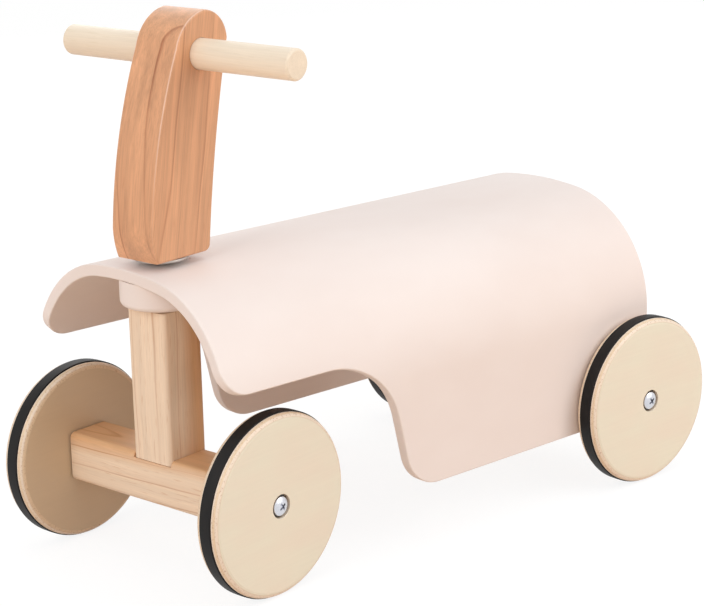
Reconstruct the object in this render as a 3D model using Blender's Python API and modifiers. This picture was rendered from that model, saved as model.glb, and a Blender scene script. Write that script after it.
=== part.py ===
"""Wooden ride-on quad for a toddler: a bent plywood seat shell on four plywood wheels, steered by an
upright post with a dowel handlebar. Metres, +Z up, the quad faces -Y, so the rider's left is +X."""

import math

import bmesh
import bpy
import numpy
from mathutils import Matrix, Vector

# Gap left between two pieces that touch in the real toy.
FIT = 0.0003

# Wheels: plywood discs with rounded rims, a rubber band let into a groove, a nylon bush in the bore.
WHEEL_R = 0.0747
RIM_ROUND = 0.0047
RIM_FLAT = 0.0003
TYRE_W = 0.012
TYRE_DEEP = 0.0022
TYRE_PROUD = 0.0011
TYRE_EASE = 0.0006
BUSH_R = 0.008
BUSH_LIP = 0.0015
BUSH_FLANGE_T = 0.0012
HEAD_PROUD = 0.0015

# Wheel screws: a pan head with a cross recess, a plain shoulder that the bush turns on, then a thread.
SHOULDER_R = 0.004
THREAD_R = 0.003
THREAD_L = 0.016
PAN_HEAD_R = 0.0080
PAN_HEAD_H = 0.0040
PAN_HEAD_CROWN = 0.0020
RECESS_W = 0.0016
RECESS_L = 0.0078
RECESS_DEEP = 0.0022
WASHER_R = 0.009
WASHER_T = 0.001
INSERT_R = 0.006
INSERT_L = 0.020

# Seat shell: one bent plywood arch with upright sides.
SHELL_T = 0.010
SHELL_HALF_W = 0.130
SEAT_TOP = 0.2548
CROWN_R = 0.353
SHOULDER_BEND_R = 0.0995
SHELL_EDGE_EASE = 0.0012

# Side outline of the shell: a raised lobe over each front wheel, then a deep skirt to the rear.
FRONT_EDGE = 0.0345
LOBE_REACH = 0.0390
LOBE_CLEAR = 0.0257
LOBE_ROUND = 0.022
NOTCH_ROUND = 0.073
NOTCH_LEAN = math.radians(13.0)
SKIRT_FRONT = 0.1505
SKIRT_DROP = 0.0193
SKIRT_ROUND = 0.036
REAR_ROUND = 0.020
WHEELBASE = 0.4183
REAR_OVERHANG = 0.0210

# Cross beam between the shell's sides that carries the rear wheels.
REAR_BEAM_D = 0.032
REAR_BEAM_H = 0.036

# Front carriage: square stock for the axle beam and the column that is housed in it.
STOCK = 0.042
STOCK_ROUND = 0.005
COLUMN_ROUND = 0.004
FRONT_BEAM_HALF = 0.0980
HOUSING_DEEP = 0.005

# Steering: round block under the crown, spindle through it, a spacer and thrust washers.
STEER = math.radians(8.2)
BLOCK_R = 0.0345
BLOCK_H = 0.023
BLOCK_ROUND = 0.005
SPINDLE_R = 0.005
SPINDLE_GRIP = 0.045
SLEEVE_R = 0.008
SLEEVE_L = 0.048
SPACER_R = 0.010
SPACER_T = 0.0036
THRUST_R = 0.022
THRUST_T = 0.0022
LOWER_WASHER_R = 0.018
LOWER_WASHER_T = 0.0015

# Handle post: swept back towards the rider. Its foot is measured from the steering axis, with the toe
# tucked in, and its head as distances back from that axis and down from the top.
HANDLE_W = 0.046
HANDLE_EASE = 0.0018
HANDLE_TALL = 0.1917
HANDLE_FOOT_FRONT = 0.0300
HANDLE_FOOT_BACK = 0.0335
TOE_RISE = 0.0245
TOE_TUCK = 0.0060
HEEL_ROUND = 0.006
HANDLE_TOP_BACK = 0.0365
NOSE_BACK = 0.005
NOSE_DOWN = 0.027
NAPE_BACK = 0.062
NAPE_DOWN = 0.0245
FRONT_BULGE = 0.0060
BACK_HOLLOW = 0.0028
NOSE_BULGE = 0.0062
NAPE_BULGE = 0.0070

# Handlebar: a plain dowel through the handle post.
BAR_R = 0.0125
BAR_HALF = 0.1237
BAR_CHAMFER = 0.0015
BAR_BACK = 0.0315
BAR_DOWN = 0.0338

# Hidden wood screws that hold the block to the shell and the column to the beam.
BLOCK_SCREW_R = 0.002
BLOCK_SCREW_BITE = 0.005
COLUMN_SCREW_X = 0.011
COLUMN_SCREW_R = 0.0025
COLUMN_SCREW_BITE = 0.035
FLAT_HEAD_H = 0.003
FLAT_HEAD_SPREAD = 0.002

# Facets around round pieces and along curved outlines.
WHEEL_SIDES = 40
ROUND_SIDES = 24
SCREW_SIDES = 16
SMALL_SIDES = 12
ARC_STEPS = 3
BEND_STEPS = 14
CROWN_STEPS = 3
SHELL_LENGTHS = 10
LOBE_STEPS = 6
NOTCH_STEPS = 12
SKIRT_STEPS = 8
HANDLE_STEPS = 8
HEAD_STEPS = 5
SHELL_EASE_STEPS = 2
HANDLE_EASE_STEPS = 2

# Faces that meet at less than the first angle look smooth, edges sharper than the second are eased,
# and faces within the third are one flat.
SMOOTH_ANGLE = math.radians(35.0)
EASE_ANGLE = math.radians(50.0)
FLAT_ANGLE = math.radians(0.1)

# Cutters run past what they cut. Cut points nearer than the seam, or the weld on the shell, become one.
CUT_PAST = 0.01
SEAM = 0.00001
WELD = 0.0004

# Levels and places that follow from the sizes above; the front axle is at Y = 0 until the end.
TYRE_OUT_R = WHEEL_R + TYRE_PROUD
AXLE_Z = TYRE_OUT_R
WHEEL_T = TYRE_W + 2 * (RIM_FLAT + RIM_ROUND)
COUNTERBORE_R = BUSH_R + BUSH_LIP + FIT
COUNTERBORE_FLOOR = WHEEL_T + HEAD_PROUD - PAN_HEAD_H - BUSH_FLANGE_T - 2 * FIT
LOBE_Z = 2 * TYRE_OUT_R + LOBE_CLEAR
SKIRT_Z = AXLE_Z - SKIRT_DROP
REAR_EDGE = WHEELBASE + REAR_OVERHANG
INNER_CROWN = SEAT_TOP - SHELL_T
BLOCK_BOTTOM = INNER_CROWN - BLOCK_H
BLOCK_SCREW_X = (SLEEVE_R + BLOCK_R) / 2
COLUMN_TOP = BLOCK_BOTTOM - 2 * FIT - LOWER_WASHER_T
BEAM_TOP = AXLE_Z + STOCK / 2
COLUMN_FOOT = BEAM_TOP - HOUSING_DEEP + FIT
SPACER_Z = SEAT_TOP + FIT
THRUST_Z = SPACER_Z + SPACER_T + FIT
HANDLE_FOOT = THRUST_Z + THRUST_T + FIT
HANDLE_TOP = HANDLE_FOOT + HANDLE_TALL
REAR_BEAM_HALF = SHELL_HALF_W - SHELL_T - FIT
WHEEL_STANDOFF = WASHER_T + 2 * FIT
FRONT_WHEEL_X = FRONT_BEAM_HALF + WHEEL_STANDOFF
REAR_WHEEL_X = SHELL_HALF_W + WHEEL_STANDOFF

# The origin sits on the floor under the middle of the whole length, front wheels turned as photographed.
FRONT_REACH = math.cos(STEER) * TYRE_OUT_R + math.sin(STEER) * (FRONT_WHEEL_X + (WHEEL_T + TYRE_W) / 2)
REAR_REACH = WHEELBASE + TYRE_OUT_R
FRONT_AXLE_Y = (FRONT_REACH - REAR_REACH) / 2


for old in list(bpy.data.objects):
    bpy.data.objects.remove(old)

quad = bpy.data.collections.new("wooden_ride_on_quad")
bpy.context.scene.collection.children.link(quad)


def finish(name, colour, roughness, metallic=0.0):
    """A Principled BSDF material with one colour."""
    made = bpy.data.materials.new(name)
    made.use_nodes = True
    shader = made.node_tree.nodes["Principled BSDF"]
    shader.inputs["Base Color"].default_value = (*colour, 1.0)
    shader.inputs["Roughness"].default_value = roughness
    shader.inputs["Metallic"].default_value = metallic
    return made


BLUSH_PAINT = finish("blush_paint", (0.84, 0.70, 0.61), 0.55)
CHERRY = finish("oiled_cherry", (0.62, 0.34, 0.18), 0.5)
BIRCH_DOWEL = finish("birch_dowel", (0.84, 0.70, 0.50), 0.5)
PINE = finish("oiled_pine", (0.74, 0.54, 0.36), 0.55)
BIRCH_PLY = finish("birch_plywood", (0.78, 0.65, 0.46), 0.45)
RUBBER = finish("black_rubber", (0.012, 0.012, 0.012), 0.6)
ZINC = finish("zinc_plated_steel", (0.68, 0.68, 0.72), 0.3, 1.0)
NYLON = finish("dark_nylon", (0.05, 0.05, 0.05), 0.5)


# Turns that stand a flat outline up along an axis: along X it was drawn as (back, up), along Y as
# (up, across) and along Z as (across, back).
AXIS_TURN = {
    "X": Matrix(((0, 0, 1), (1, 0, 0), (0, 1, 0))).to_4x4(),
    "Y": Matrix(((0, 1, 0), (0, 0, 1), (1, 0, 0))).to_4x4(),
    "Z": Matrix.Identity(4),
}


def make_object(name, mesh, material):
    """An object of the quad's collection with its own mesh and material."""
    obj = bpy.data.objects.new(name, mesh)
    mesh.materials.append(material)
    quad.objects.link(obj)
    return obj


def settle(obj):
    """Turns the object's modifiers into plain faces, smooth where they meet at a shallow angle."""
    bpy.context.view_layer.update()
    graph = bpy.context.evaluated_depsgraph_get()
    old = obj.data
    obj.data = bpy.data.meshes.new_from_object(obj.evaluated_get(graph))
    obj.modifiers.clear()
    bpy.data.meshes.remove(old)
    obj.data.name = obj.name
    obj.data.shade_smooth()
    obj.data.set_sharp_from_angle(angle=SMOOTH_ANGLE)
    return obj


def turned(name, profile, material, sides, ring):
    """A solid of revolution about local Z from (radius, height) points that run down its outer side."""
    mesh = bpy.data.meshes.new(name)
    points = [(radius, 0.0, height) for radius, height in profile]
    edges = [(i, i + 1) for i in range(len(points) - 1)]
    if ring:
        edges.append((len(points) - 1, 0))
    mesh.from_pydata(points, edges, [])
    obj = make_object(name, mesh, material)
    screw = obj.modifiers.new("turn", "SCREW")
    screw.steps = sides
    screw.render_steps = sides
    screw.use_merge_vertices = True
    screw.merge_threshold = SEAM
    return settle(obj)


def tube(name, outer, inner, low, high, material, sides):
    """A plain ring or sleeve about local Z."""
    profile = [(inner, high), (outer, high), (outer, low), (inner, low)]
    return turned(name, profile, material, sides, True)


def mesh_from(form, name):
    """A mesh made from a bmesh, which is used up."""
    mesh = bpy.data.meshes.new(name)
    form.to_mesh(mesh)
    form.free()
    return mesh


def box(name, size, centre, material):
    """A plain box."""
    form = bmesh.new()
    bmesh.ops.create_cube(form, size=1.0)
    bmesh.ops.scale(form, verts=form.verts, vec=size)
    bmesh.ops.translate(form, verts=form.verts, vec=centre)
    return make_object(name, mesh_from(form, name), material)


def cylinder(name, radius, centre, low, high, axis, material, sides):
    """A plain solid cylinder along an axis through the two-value centre, from low to high."""
    form = bmesh.new()
    bmesh.ops.create_cone(
        form,
        cap_ends=True,
        segments=sides,
        radius1=radius,
        radius2=radius,
        depth=high - low,
        matrix=AXIS_TURN[axis] @ Matrix.Translation((*centre, (low + high) / 2)),
    )
    return settle(make_object(name, mesh_from(form, name), material))


def prism(name, outline, low, high, axis, material):
    """A flat outline drawn out along an axis from low to high."""
    flat = bpy.data.curves.new(name, "CURVE")
    flat.dimensions = "2D"
    flat.fill_mode = "BOTH"
    flat.extrude = (high - low) / 2
    spline = flat.splines.new("POLY")
    spline.points.add(len(outline) - 1)
    for point, (first, second) in zip(spline.points, outline):
        point.co = (first, second, 0.0, 1.0)
    spline.use_cyclic_u = True
    guide = bpy.data.objects.new(name, flat)
    guide.matrix_world = AXIS_TURN[axis] @ Matrix.Translation((0.0, 0.0, (low + high) / 2))
    quad.objects.link(guide)
    bpy.context.view_layer.update()
    graph = bpy.context.evaluated_depsgraph_get()
    form = bmesh.new()
    form.from_mesh(bpy.data.meshes.new_from_object(guide.evaluated_get(graph)))
    bmesh.ops.remove_doubles(form, verts=form.verts, dist=SEAM)
    bmesh.ops.dissolve_limit(form, angle_limit=FLAT_ANGLE, verts=form.verts, edges=form.edges)
    place = guide.matrix_world.copy()
    bpy.data.objects.remove(guide)
    obj = make_object(name, mesh_from(form, name), material)
    obj.matrix_world = place
    return settle(obj)


def weld(obj, distance):
    """Draws together the object's points that are nearer than the distance."""
    form = bmesh.new()
    form.from_mesh(obj.data)
    bmesh.ops.remove_doubles(form, verts=form.verts, dist=distance)
    form.to_mesh(obj.data)
    form.free()


def ease(obj, width, steps):
    """Rounds the object's sharp edges."""
    bevel = obj.modifiers.new("ease", "BEVEL")
    bevel.width = width
    bevel.segments = steps
    bevel.limit_method = "ANGLE"
    bevel.angle_limit = EASE_ANGLE
    bevel.use_clamp_overlap = False
    bevel.loop_slide = False
    return settle(obj)


def trim(obj, cutter, operation="DIFFERENCE"):
    """Cuts the object with another solid, which is used up."""
    boolean = obj.modifiers.new("cut", "BOOLEAN")
    boolean.operation = operation
    boolean.solver = "EXACT"
    boolean.object = cutter
    settle(obj)
    weld(obj, SEAM)
    bpy.data.objects.remove(cutter)
    return obj


def drill(obj, radius, centre, low, high, axis, sides=SMALL_SIDES):
    """A round hole along an axis through the two-value centre, from low to high."""
    return trim(obj, cylinder("drill", radius, centre, low, high, axis, obj.data.materials[0], sides))


def arc(centre, radius, start, end, steps):
    """Points on an arc between two angles, both ends included."""
    angles = [start + (end - start) * i / steps for i in range(steps + 1)]
    return [(centre[0] + radius * math.cos(a), centre[1] + radius * math.sin(a)) for a in angles]


def bowed(start, end, bulge, steps):
    """An arc from start to end that stands off its chord by the bulge, to the right of the way it runs."""
    (x0, y0), (x1, y1) = start, end
    chord = math.hypot(x1 - x0, y1 - y0)
    right = ((y1 - y0) / chord, -(x1 - x0) / chord)
    radius = (chord ** 2 / 4 + bulge ** 2) / (2 * bulge)
    middle = ((x0 + x1) / 2, (y0 + y1) / 2)
    centre = (middle[0] + right[0] * (bulge - radius), middle[1] + right[1] * (bulge - radius))
    first = math.atan2(y0 - centre[1], x0 - centre[0])
    last = math.atan2(y1 - centre[1], x1 - centre[0])
    turn = (last - first + math.pi) % (2 * math.pi) - math.pi
    return arc(centre, abs(radius), first, first + turn, steps)


def rounded_box(half_a, half_b, centre, radius):
    """A rectangle's outline with round corners, anticlockwise."""
    points = []
    for quarter, (side_a, side_b) in enumerate([(1, 1), (-1, 1), (-1, -1), (1, -1)]):
        corner = (centre[0] + side_a * (half_a - radius), centre[1] + side_b * (half_b - radius))
        start = quarter * math.pi / 2
        points += arc(corner, radius, start, start + math.pi / 2, ARC_STEPS)
    return points


# Seat shell: a flat sheet, cut to its outline and eased, then bent over an arch with a shallow crown, a
# shoulder bend on each side and upright sides. A run is a distance along the arch from mid crown.
BEND_X = SHELL_HALF_W - SHOULDER_BEND_R
CROWN_TURN = math.asin(BEND_X / (CROWN_R - SHOULDER_BEND_R))
CROWN_CENTRE_Z = SEAT_TOP - CROWN_R
BEND_Z = CROWN_CENTRE_Z + (CROWN_R - SHOULDER_BEND_R) * math.cos(CROWN_TURN)
BEND_START = CROWN_R * CROWN_TURN
BEND_END = BEND_START + SHOULDER_BEND_R * (math.pi / 2 - CROWN_TURN)
CREASES = [BEND_START * i / CROWN_STEPS for i in range(CROWN_STEPS)]
CREASES += [BEND_START + (BEND_END - BEND_START) * i / BEND_STEPS for i in range(BEND_STEPS + 1)]


def arch_at(run, depth):
    """The arch as (across, up) at a run and a depth under its outer face."""
    if run < BEND_START:
        centre, radius, turn = (0.0, CROWN_CENTRE_Z), CROWN_R, run / CROWN_R
    else:
        centre, radius = (BEND_X, BEND_Z), SHOULDER_BEND_R
        turn = min(CROWN_TURN + (run - BEND_START) / radius, math.pi / 2)
    drop = max(run - BEND_END, 0.0)
    reach = radius - depth
    return centre[0] + reach * math.sin(turn), centre[1] + reach * math.cos(turn) - drop


def run_at(height):
    """The run at which the outer face of the shoulder or of the upright side has a height."""
    turn = math.acos(max(height - BEND_Z, 0.0) / SHOULDER_BEND_R)
    return BEND_START + SHOULDER_BEND_R * (turn - CROWN_TURN) + max(BEND_Z - height, 0.0)


def upright(points):
    """(across, up) points as the (up, across) pairs that a prism along Y takes."""
    return [(z, x) for x, z in points]


def side_outline():
    """The lower edge of the shell's side as (back, up) points, and the slope of its front edge."""
    slope = (LOBE_REACH - FRONT_EDGE) / (SEAT_TOP - LOBE_Z)
    front_lean = math.atan(slope)
    lobe_tuck = LOBE_ROUND * math.tan((math.pi / 2 + front_lean) / 2)
    lobe_centre = (-LOBE_REACH + lobe_tuck, LOBE_Z + LOBE_ROUND)
    across = Vector((math.cos(NOTCH_LEAN), math.sin(NOTCH_LEAN)))
    reach = across.dot(Vector((SKIRT_FRONT, SKIRT_Z)))
    notch_z = LOBE_Z - NOTCH_ROUND
    notch_centre = ((reach - NOTCH_ROUND - across.y * notch_z) / across.x, notch_z)
    skirt_z = SKIRT_Z + SKIRT_ROUND
    skirt_centre = ((reach + SKIRT_ROUND - across.y * skirt_z) / across.x, skirt_z)
    rear_centre = (REAR_EDGE - REAR_ROUND, SKIRT_Z + REAR_ROUND)
    points = arc(lobe_centre, LOBE_ROUND, math.pi - front_lean, 1.5 * math.pi, LOBE_STEPS)
    points += arc(notch_centre, NOTCH_ROUND, math.pi / 2, NOTCH_LEAN, NOTCH_STEPS)
    points += arc(skirt_centre, SKIRT_ROUND, math.pi + NOTCH_LEAN, 1.5 * math.pi, SKIRT_STEPS)
    points += arc(rear_centre, REAR_ROUND, -math.pi / 2, 0.0, LOBE_STEPS)
    return points, slope


def sheet_outline():
    """The flat sheet's outline as (run, back) points, its front edge cut so that it leans when bent."""
    edge, slope = side_outline()
    points = []
    for run in [(low + high) / 2 for low, high in zip(CREASES, CREASES[1:])]:
        if run < run_at(edge[0][1]) - SHELL_T / 2:
            points.append((run, -FRONT_EDGE - slope * (SEAT_TOP - arch_at(run, 0.0)[1])))
    points += [(run_at(up), back) for back, up in edge]
    return points + [(-run, back) for run, back in reversed(points)]


def bend(sheet):
    """Creases the flat sheet across and in lengths, then lays it over the arch."""
    form = bmesh.new()
    form.from_mesh(sheet.data)
    cuts = [(run, 0.0, 0.0) for run in CREASES + [-run for run in CREASES[1:]]]
    length = REAR_EDGE + FRONT_EDGE
    cuts += [(0.0, length * i / SHELL_LENGTHS - FRONT_EDGE, 0.0) for i in range(1, SHELL_LENGTHS)]
    for cut in cuts:
        normal = (0.0, 1.0, 0.0) if cut[1] else (1.0, 0.0, 0.0)
        every = form.verts[:] + form.edges[:] + form.faces[:]
        bmesh.ops.bisect_plane(form, geom=every, dist=SEAM, plane_co=cut, plane_no=normal)
    bmesh.ops.remove_doubles(form, verts=form.verts, dist=WELD)
    stations = CREASES + [run_at(SKIRT_Z)]
    outer = numpy.array([arch_at(run, 0.0) for run in stations])
    inner = numpy.array([arch_at(run, SHELL_T) for run in stations])
    for vert in form.verts:
        run, back, height = vert.co
        layer = outer + (inner - outer) * (0.5 - height / SHELL_T)
        across = numpy.interp(abs(run), stations, layer[:, 0])
        vert.co = (math.copysign(across, run), back, numpy.interp(abs(run), stations, layer[:, 1]))
    form.to_mesh(sheet.data)
    form.free()
    return settle(sheet)


shell = prism("seat_shell", sheet_outline(), -SHELL_T / 2, SHELL_T / 2, "Z", BLUSH_PAINT)
ease(shell, SHELL_EDGE_EASE, SHELL_EASE_STEPS)
bend(shell)
drill(shell, SLEEVE_R + FIT, (0.0, 0.0), INNER_CROWN - CUT_PAST, SEAT_TOP + CUT_PAST, "Z", ROUND_SIDES)
for side in (1, -1):
    wall = sorted((side * (SHELL_HALF_W + CUT_PAST), side * (SHELL_HALF_W - SHELL_T - CUT_PAST)))
    drill(shell, SHOULDER_R + FIT, (WHEELBASE, AXLE_Z), *wall, "X")
    drill(
        shell,
        BLOCK_SCREW_R + FIT,
        (side * BLOCK_SCREW_X, 0.0),
        INNER_CROWN - CUT_PAST,
        INNER_CROWN + BLOCK_SCREW_BITE + FIT,
        "Z",
    )

# Rear axle beam, glued between the shell's sides, with a threaded insert in each end.
rear_beam = prism(
    "rear_axle_beam",
    rounded_box(REAR_BEAM_D / 2, REAR_BEAM_H / 2, (WHEELBASE, AXLE_Z), STOCK_ROUND),
    -REAR_BEAM_HALF,
    REAR_BEAM_HALF,
    "X",
    PINE,
)
for side in (1, -1):
    socket = sorted((side * (REAR_BEAM_HALF + CUT_PAST), side * (REAR_BEAM_HALF - INSERT_L - FIT)))
    drill(rear_beam, INSERT_R + FIT, (WHEELBASE, AXLE_Z), *socket, "X")

# Steering block: a painted disc, round at its lower edge, hollowed to fit the inside of the crown.
block_profile = [(SLEEVE_R + FIT, SEAT_TOP), (BLOCK_R, SEAT_TOP)]
block_profile += arc(
    (BLOCK_R - BLOCK_ROUND, BLOCK_BOTTOM + BLOCK_ROUND), BLOCK_ROUND, 0.0, -math.pi / 2, ARC_STEPS
)
block_profile.append((SLEEVE_R + FIT, BLOCK_BOTTOM))
block = turned("steering_block", block_profile, BLUSH_PAINT, WHEEL_SIDES, True)
crown_void = [arch_at(run, SHELL_T + FIT) for run in reversed(CREASES)]
crown_void += [(-across, up) for across, up in reversed(crown_void[:-1])]
crown_void += [(-SHELL_HALF_W, SEAT_TOP + CUT_PAST), (SHELL_HALF_W, SEAT_TOP + CUT_PAST)]
void_half = BLOCK_R + CUT_PAST
trim(block, prism("crown_void", upright(crown_void), -void_half, void_half, "Y", BLUSH_PAINT))

# Two wood screws go up through the block into the shell, one on each side of the spindle.
BLOCK_HEAD_R = BLOCK_SCREW_R + FLAT_HEAD_SPREAD
for side, word in ((1, "left"), (-1, "right")):
    at = (side * BLOCK_SCREW_X, 0.0)
    drill(block, BLOCK_HEAD_R + FIT, at, BLOCK_BOTTOM - CUT_PAST, BLOCK_BOTTOM + FLAT_HEAD_H + 2 * FIT, "Z")
    drill(block, BLOCK_SCREW_R + FIT, at, BLOCK_BOTTOM, SEAT_TOP, "Z")
    screw_profile = [
        (0.0, INNER_CROWN + BLOCK_SCREW_BITE),
        (BLOCK_SCREW_R, INNER_CROWN + BLOCK_SCREW_BITE - BLOCK_SCREW_R),
        (BLOCK_SCREW_R, BLOCK_BOTTOM + FLAT_HEAD_H + FIT),
        (BLOCK_HEAD_R, BLOCK_BOTTOM + FLAT_HEAD_H + FIT),
        (BLOCK_HEAD_R, BLOCK_BOTTOM + FIT),
        (0.0, BLOCK_BOTTOM + FIT),
    ]
    block_screw = turned(f"block_screw_{word}", screw_profile, ZINC, SMALL_SIDES, False)
    block_screw.location = (*at, 0.0)

# Sleeve that lines the hole through the block and the shell; a spacer and the washers take the thrust.
tube("steering_bush", SLEEVE_R, SPINDLE_R + FIT, BLOCK_BOTTOM, SEAT_TOP - FIT, NYLON, SMALL_SIDES)
tube("seat_washer_lower", SPACER_R, SPINDLE_R + FIT, SPACER_Z, SPACER_Z + SPACER_T, ZINC, ROUND_SIDES)
tube("seat_washer_upper", THRUST_R, SPINDLE_R + FIT, THRUST_Z, THRUST_Z + THRUST_T, ZINC, ROUND_SIDES)
tube(
    "column_washer",
    LOWER_WASHER_R,
    SPINDLE_R + FIT,
    COLUMN_TOP + FIT,
    COLUMN_TOP + FIT + LOWER_WASHER_T,
    ZINC,
    ROUND_SIDES,
)

# Everything from here to the handlebar turns with the steering, so it is modelled straight ahead.
steering = bpy.data.objects.new("steering_axis", None)
quad.objects.link(steering)
carried = []

# Spindle, glued into a sleeve in the column and another in the foot of the handle post.
SPINDLE_ENDS = (COLUMN_TOP - SPINDLE_GRIP, HANDLE_FOOT + SPINDLE_GRIP)
carried.append(cylinder("steering_spindle", SPINDLE_R, (0.0, 0.0), *SPINDLE_ENDS, "Z", ZINC, SMALL_SIDES))
carried.append(
    tube("column_sleeve", SLEEVE_R, SPINDLE_R + FIT, COLUMN_TOP - SLEEVE_L, COLUMN_TOP, ZINC, SMALL_SIDES)
)
carried.append(
    tube("handle_sleeve", SLEEVE_R, SPINDLE_R + FIT, HANDLE_FOOT, HANDLE_FOOT + SLEEVE_L, ZINC, SMALL_SIDES)
)

# Front axle beam: long edges rounded, a shallow housing across its top for the column.
beam = prism(
    "front_axle_beam",
    rounded_box(STOCK / 2, STOCK / 2, (0.0, AXLE_Z), STOCK_ROUND),
    -FRONT_BEAM_HALF,
    FRONT_BEAM_HALF,
    "X",
    PINE,
)
housing_size = (STOCK + 2 * FIT, STOCK + 2 * CUT_PAST, 2 * HOUSING_DEEP)
trim(beam, box("housing", housing_size, (0.0, 0.0, BEAM_TOP), PINE))
for side in (1, -1):
    socket = sorted((side * (FRONT_BEAM_HALF + CUT_PAST), side * (FRONT_BEAM_HALF - INSERT_L - FIT)))
    drill(beam, INSERT_R + FIT, (0.0, AXLE_Z), *socket, "X")
carried.append(beam)

# Steering column: square post with eased edges that stands in the beam's housing.
column = prism(
    "steering_column",
    rounded_box(STOCK / 2, STOCK / 2, (0.0, 0.0), COLUMN_ROUND),
    COLUMN_FOOT,
    COLUMN_TOP,
    "Z",
    PINE,
)
drill(column, SLEEVE_R + FIT, (0.0, 0.0), COLUMN_TOP - SLEEVE_L - FIT, COLUMN_TOP + CUT_PAST, "Z")
carried.append(column)

# Two wood screws go up through the beam into the column, their heads sunk in its underside.
BEAM_BOTTOM = AXLE_Z - STOCK / 2
COLUMN_HEAD_R = COLUMN_SCREW_R + FLAT_HEAD_SPREAD
COLUMN_SCREW_TIP = COLUMN_FOOT + COLUMN_SCREW_BITE
for side, word in ((1, "left"), (-1, "right")):
    at = (side * COLUMN_SCREW_X, 0.0)
    drill(beam, COLUMN_HEAD_R + FIT, at, BEAM_BOTTOM - CUT_PAST, BEAM_BOTTOM + FLAT_HEAD_H + 2 * FIT, "Z")
    drill(beam, COLUMN_SCREW_R + FIT, at, BEAM_BOTTOM, BEAM_TOP, "Z")
    drill(column, COLUMN_SCREW_R + FIT, at, COLUMN_FOOT - CUT_PAST, COLUMN_SCREW_TIP + FIT, "Z")
    screw_profile = [
        (0.0, COLUMN_SCREW_TIP),
        (COLUMN_SCREW_R, COLUMN_SCREW_TIP - COLUMN_SCREW_R),
        (COLUMN_SCREW_R, BEAM_BOTTOM + FLAT_HEAD_H + FIT),
        (COLUMN_HEAD_R, BEAM_BOTTOM + FLAT_HEAD_H + FIT),
        (COLUMN_HEAD_R, BEAM_BOTTOM + FIT),
        (0.0, BEAM_BOTTOM + FIT),
    ]
    column_screw = turned(f"column_screw_{word}", screw_profile, ZINC, SMALL_SIDES, False)
    column_screw.location = (*at, 0.0)
    carried.append(column_screw)


def handle_outline():
    """The handle post seen from the side, as (back, up) points."""
    nose = (NOSE_BACK, HANDLE_TOP - NOSE_DOWN)
    nape = (NAPE_BACK, HANDLE_TOP - NAPE_DOWN)
    top = (HANDLE_TOP_BACK, HANDLE_TOP)
    toe_turn = 2 * math.atan(TOE_TUCK / TOE_RISE)
    toe_round = TOE_RISE / math.sin(toe_turn)
    toe_centre = (toe_round - HANDLE_FOOT_FRONT, HANDLE_FOOT + TOE_RISE)
    heel_centre = (HANDLE_FOOT_BACK - HEEL_ROUND, HANDLE_FOOT + HEEL_ROUND)
    toe = arc(toe_centre, toe_round, math.pi, math.pi + toe_turn, ARC_STEPS)
    heel = arc(heel_centre, HEEL_ROUND, -math.pi / 2, 0.0, ARC_STEPS)
    points = toe[1:] + heel
    points += bowed(heel[-1], nape, -BACK_HOLLOW, HANDLE_STEPS)[1:]
    points += bowed(nape, top, NAPE_BULGE, HEAD_STEPS)[1:]
    points += bowed(top, nose, NOSE_BULGE, HEAD_STEPS)[1:]
    points += bowed(nose, toe[0], FRONT_BULGE, HANDLE_STEPS)[1:]
    return points


handle = prism("handle_post", handle_outline(), -HANDLE_W / 2, HANDLE_W / 2, "X", CHERRY)
ease(handle, HANDLE_EASE, HANDLE_EASE_STEPS)
bar_centre = (BAR_BACK, HANDLE_TOP - BAR_DOWN)
drill(handle, BAR_R + FIT, bar_centre, -HANDLE_W, HANDLE_W, "X", ROUND_SIDES)
drill(handle, SLEEVE_R + FIT, (0.0, 0.0), HANDLE_FOOT - CUT_PAST, HANDLE_FOOT + SLEEVE_L + FIT, "Z")
carried.append(handle)

# Handlebar: a birch dowel glued through the post, its ends chamfered.
bar_profile = [
    (0.0, BAR_HALF),
    (BAR_R - BAR_CHAMFER, BAR_HALF),
    (BAR_R, BAR_HALF - BAR_CHAMFER),
    (BAR_R, BAR_CHAMFER - BAR_HALF),
    (BAR_R - BAR_CHAMFER, -BAR_HALF),
    (0.0, -BAR_HALF),
]
bar = turned("handlebar", bar_profile, BIRCH_DOWEL, ROUND_SIDES, False)
bar.rotation_euler = (0.0, math.pi / 2, 0.0)
bar.location = (0.0, *bar_centre)
carried.append(bar)

for piece in carried:
    piece.parent = steering
steering.location = (0.0, FRONT_AXLE_Y, 0.0)
steering.rotation_euler = (0.0, 0.0, STEER)

# Pieces fixed to the shell keep their shape and only move with the origin.
for piece in quad.objects:
    if piece.parent is None and piece is not steering:
        piece.location.y += FRONT_AXLE_Y


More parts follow.
